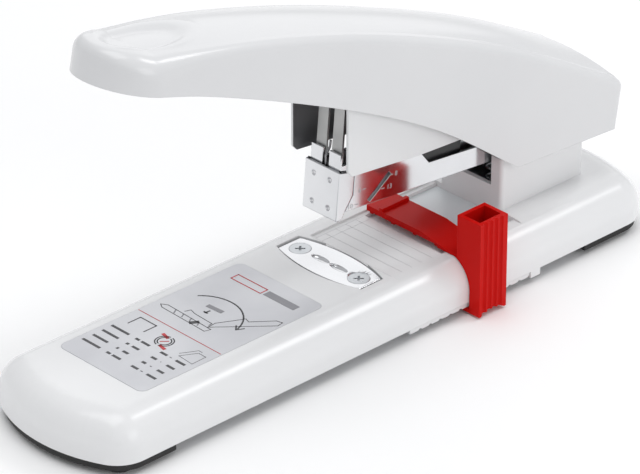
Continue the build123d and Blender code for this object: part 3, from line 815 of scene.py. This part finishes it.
def label_drawing():
    """The label's printing in three inks."""
    scale_dot = [([(-14.5, 76.0), (-14.5, 76.1)], 0.1, False)]
    printed("label_print_dark", "base", "dark", opened_stapler() + scale_dot + word_rows(), on_label)
    grey = [([(-6.2, 55.7), (-0.2, 56.1)], 2.0, False)]
    grey += [([(-12.0 + 4 * i, 45.6), (-11.0 + 4 * i, 43.8)], OUTLINE, False) for i in range(4)]
    grey += [([(2.0, 76.4), (15.0, 76.4)], 3.4, False)]
    printed("label_print_grey", "base", "grey", grey, on_label)
    red = [
        ([(-21.0, 36.4), (21.0, 36.4)], 0.35, False),
        ([(-15.4, 78.2), (-0.4, 78.2)], OUTLINE, False),
        ([(-15.4, 74.6), (-0.4, 74.6)], OUTLINE, False),
        ([(-15.4, 78.2), (-15.4, 74.6)], OUTLINE, False),
        ([(-0.4, 78.2), (-0.4, 74.6)], OUTLINE, False),
        ([(-2.6, 31.4), (0.4, 30.6)], 1.3, False),
        ([(2.4, 25.4), (5.2, 24.8)], 1.3, False),
        ([(0.4, 27.2), (2.4, 29.4)], OUTLINE, False),
    ]
    printed("label_print_red", "base", "red", red, on_label)


# Staple-leg lengths on the magazine: the number, its place, and where its dash starts, in millimetres
LEG_MARKS = (("6", 9.9, 8.6, 11.9), ("8", 27.6, 10.6, 25.0), ("13", 24.0, 6.3, 21.2), ("10", 5.0, 3.6, 8.6))
MARK_HEIGHT = 2.6 * MM
MARK_DEPTH = 0.02 * MM
DASH_LENGTH, DASH_RISE, DASH_WIDTH = 1.6, 0.9, 0.3


def magazine_marks():
    """Staple-leg lengths beside the slanting window."""
    dashes = []
    upright = Matrix.Rotation(math.radians(90), 4, "X")
    for body, x, z, dash in LEG_MARKS:
        bpy.ops.object.text_add()
        text = bpy.context.active_object
        text.data.body = body
        text.data.size = MARK_HEIGHT
        text.data.extrude = MARK_DEPTH
        only(text)
        bpy.ops.object.convert(target="MESH")
        number = bpy.context.active_object
        spot = Matrix.Translation((x * MM, -MAGAZINE_HALF - MARK_DEPTH, z * MM))
        number.data.transform(MAGAZINE @ spot @ upright)
        number.data.materials.append(INKS["mark"])
        number.name = "leg_mark_" + body
        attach(number, "magazine")
        dashes.append(([(dash, z + DASH_RISE), (dash + DASH_LENGTH, z + DASH_RISE)], DASH_WIDTH, False))
    printed("leg_marks", "magazine", "mark", dashes, on_right_wall)


def on_right_wall(x, z, height):
    """A point on the magazine's right wall."""
    return MAGAZINE @ Vector((x, -MAGAZINE_HALF - height, z))


def on_platform(x, y, height):
    """A point on the floor of the paper platform."""
    return Vector((x, y, RECESS_FLOOR + height))


def scale_lines():
    """Fine depth lines across the paper platform, and two along its side."""
    lines = [([(x, -21.5), (x, 17.2)], 0.16, False) for x in range(-96, -75, 5)]
    lines += [([(-96.2, y), (-72.5, y)], 0.14, False) for y in (17.2, 14.0)]
    printed("depth_lines", "base", "mark", lines, on_platform)


# ---------------------------------------------------------------- stage

CAMERA_TARGET = Vector((-0.09528, 0.01563, 0.0215))
CAMERA_AZIMUTH = math.radians(-43.6)
CAMERA_ELEVATION = math.radians(28.86)
CAMERA_DISTANCE = 1.5343
CAMERA_LENS = 241.875
CAMERA_SENSOR = 36

LIT_POINT = Vector((-0.1, 0, 0.05))
FLOOR_SIZE = 8
SURROUNDINGS = 0.56

# Each soft light's name, place, size and power
LIGHTS = (
    ("overhead", (-0.38, 0.05, 1.3), 0.9, 6.1),
    ("right_front", (0.0, -1.3, 0.5), 0.7, 2.7),
    ("left_back", (0.72, 0.84, 0.68), 1.1, 2.5),
    ("right_back", (0.66, -0.38, 1.0), 0.34, 2.6),
)


def place_camera():
    """Long lens from the front right, above the base."""
    back = Vector(
        (
            math.sin(CAMERA_AZIMUTH) * math.cos(CAMERA_ELEVATION),
            -math.cos(CAMERA_AZIMUTH) * math.cos(CAMERA_ELEVATION),
            math.sin(CAMERA_ELEVATION),
        )
    )
    camera = bpy.data.objects.new("camera", bpy.data.cameras.new("camera"))
    bpy.context.scene.collection.objects.link(camera)
    camera.location = CAMERA_TARGET + back * CAMERA_DISTANCE
    camera.rotation_euler = (-back).to_track_quat("-Z", "Y").to_euler()
    camera.data.lens = CAMERA_LENS
    camera.data.sensor_width = CAMERA_SENSOR
    camera.data.clip_end = 10
    bpy.context.scene.camera = camera


def soft_light(name, place, size, power):
    """A large square light that faces the stapler."""
    light = bpy.data.objects.new(name, bpy.data.lights.new(name, "AREA"))
    light.data.size = size
    light.data.energy = power
    light.location = place
    light.rotation_euler = (Vector(place) - LIT_POINT).to_track_quat("Z", "Y").to_euler()
    bpy.context.scene.collection.objects.link(light)


def stage():
    """Pale floor, even surroundings and four soft lights."""
    bpy.ops.object.select_all(action="DESELECT")
    bpy.ops.mesh.primitive_plane_add(size=FLOOR_SIZE, location=(0, 0, 0))
    floor = bpy.context.active_object
    floor.name = "floor"
    finish = new_finish("floor_paper", Base_Color=(0.98, 0.98, 0.98, 1), Roughness=0.8)
    floor.data.materials.append(finish)
    world = bpy.data.worlds.new("studio")
    world.use_nodes = True
    world.node_tree.nodes["Background"].inputs["Color"].default_value = (0.97, 0.98, 1, 1)
    world.node_tree.nodes["Background"].inputs["Strength"].default_value = SURROUNDINGS
    bpy.context.scene.world = world
    for light in LIGHTS:
        soft_light(*light)
    bpy.context.scene.view_settings.view_transform = "Standard"


# ---------------------------------------------------------------- the whole stapler

for node, piece in frame["nodes"].items():
    piece.data.materials.clear()
    piece.data.materials.append(FINISHES[SLOT_OF[node]])

# How far each skin's edges are rounded, in millimetres. At 0 only its finish rounds them.
EDGE_WIDTHS = {
    "base_cover": 0, "front_foot": 0.4, "rear_foot": 0.4, "anvil_plate": 0, "guide_sheet": 0.2,
    "hinge_bracket": 0.25, "lever_frame": 0.35, "magazine_channel": 0, "head_cap": 0.45, "head_guide": 0.2,
    "staple_pusher": 0.3, "driver_blade": 0.15, "driver_crosshead": 0.4, "depth_stop": 0,
}
for node, width in EDGE_WIDTHS.items():
    softened(node, width * MM)

handle_cover()
lift_spring()
pusher_spring()
torsion_spring()
label_drawing()
magazine_marks()
scale_lines()
stage()
place_camera()
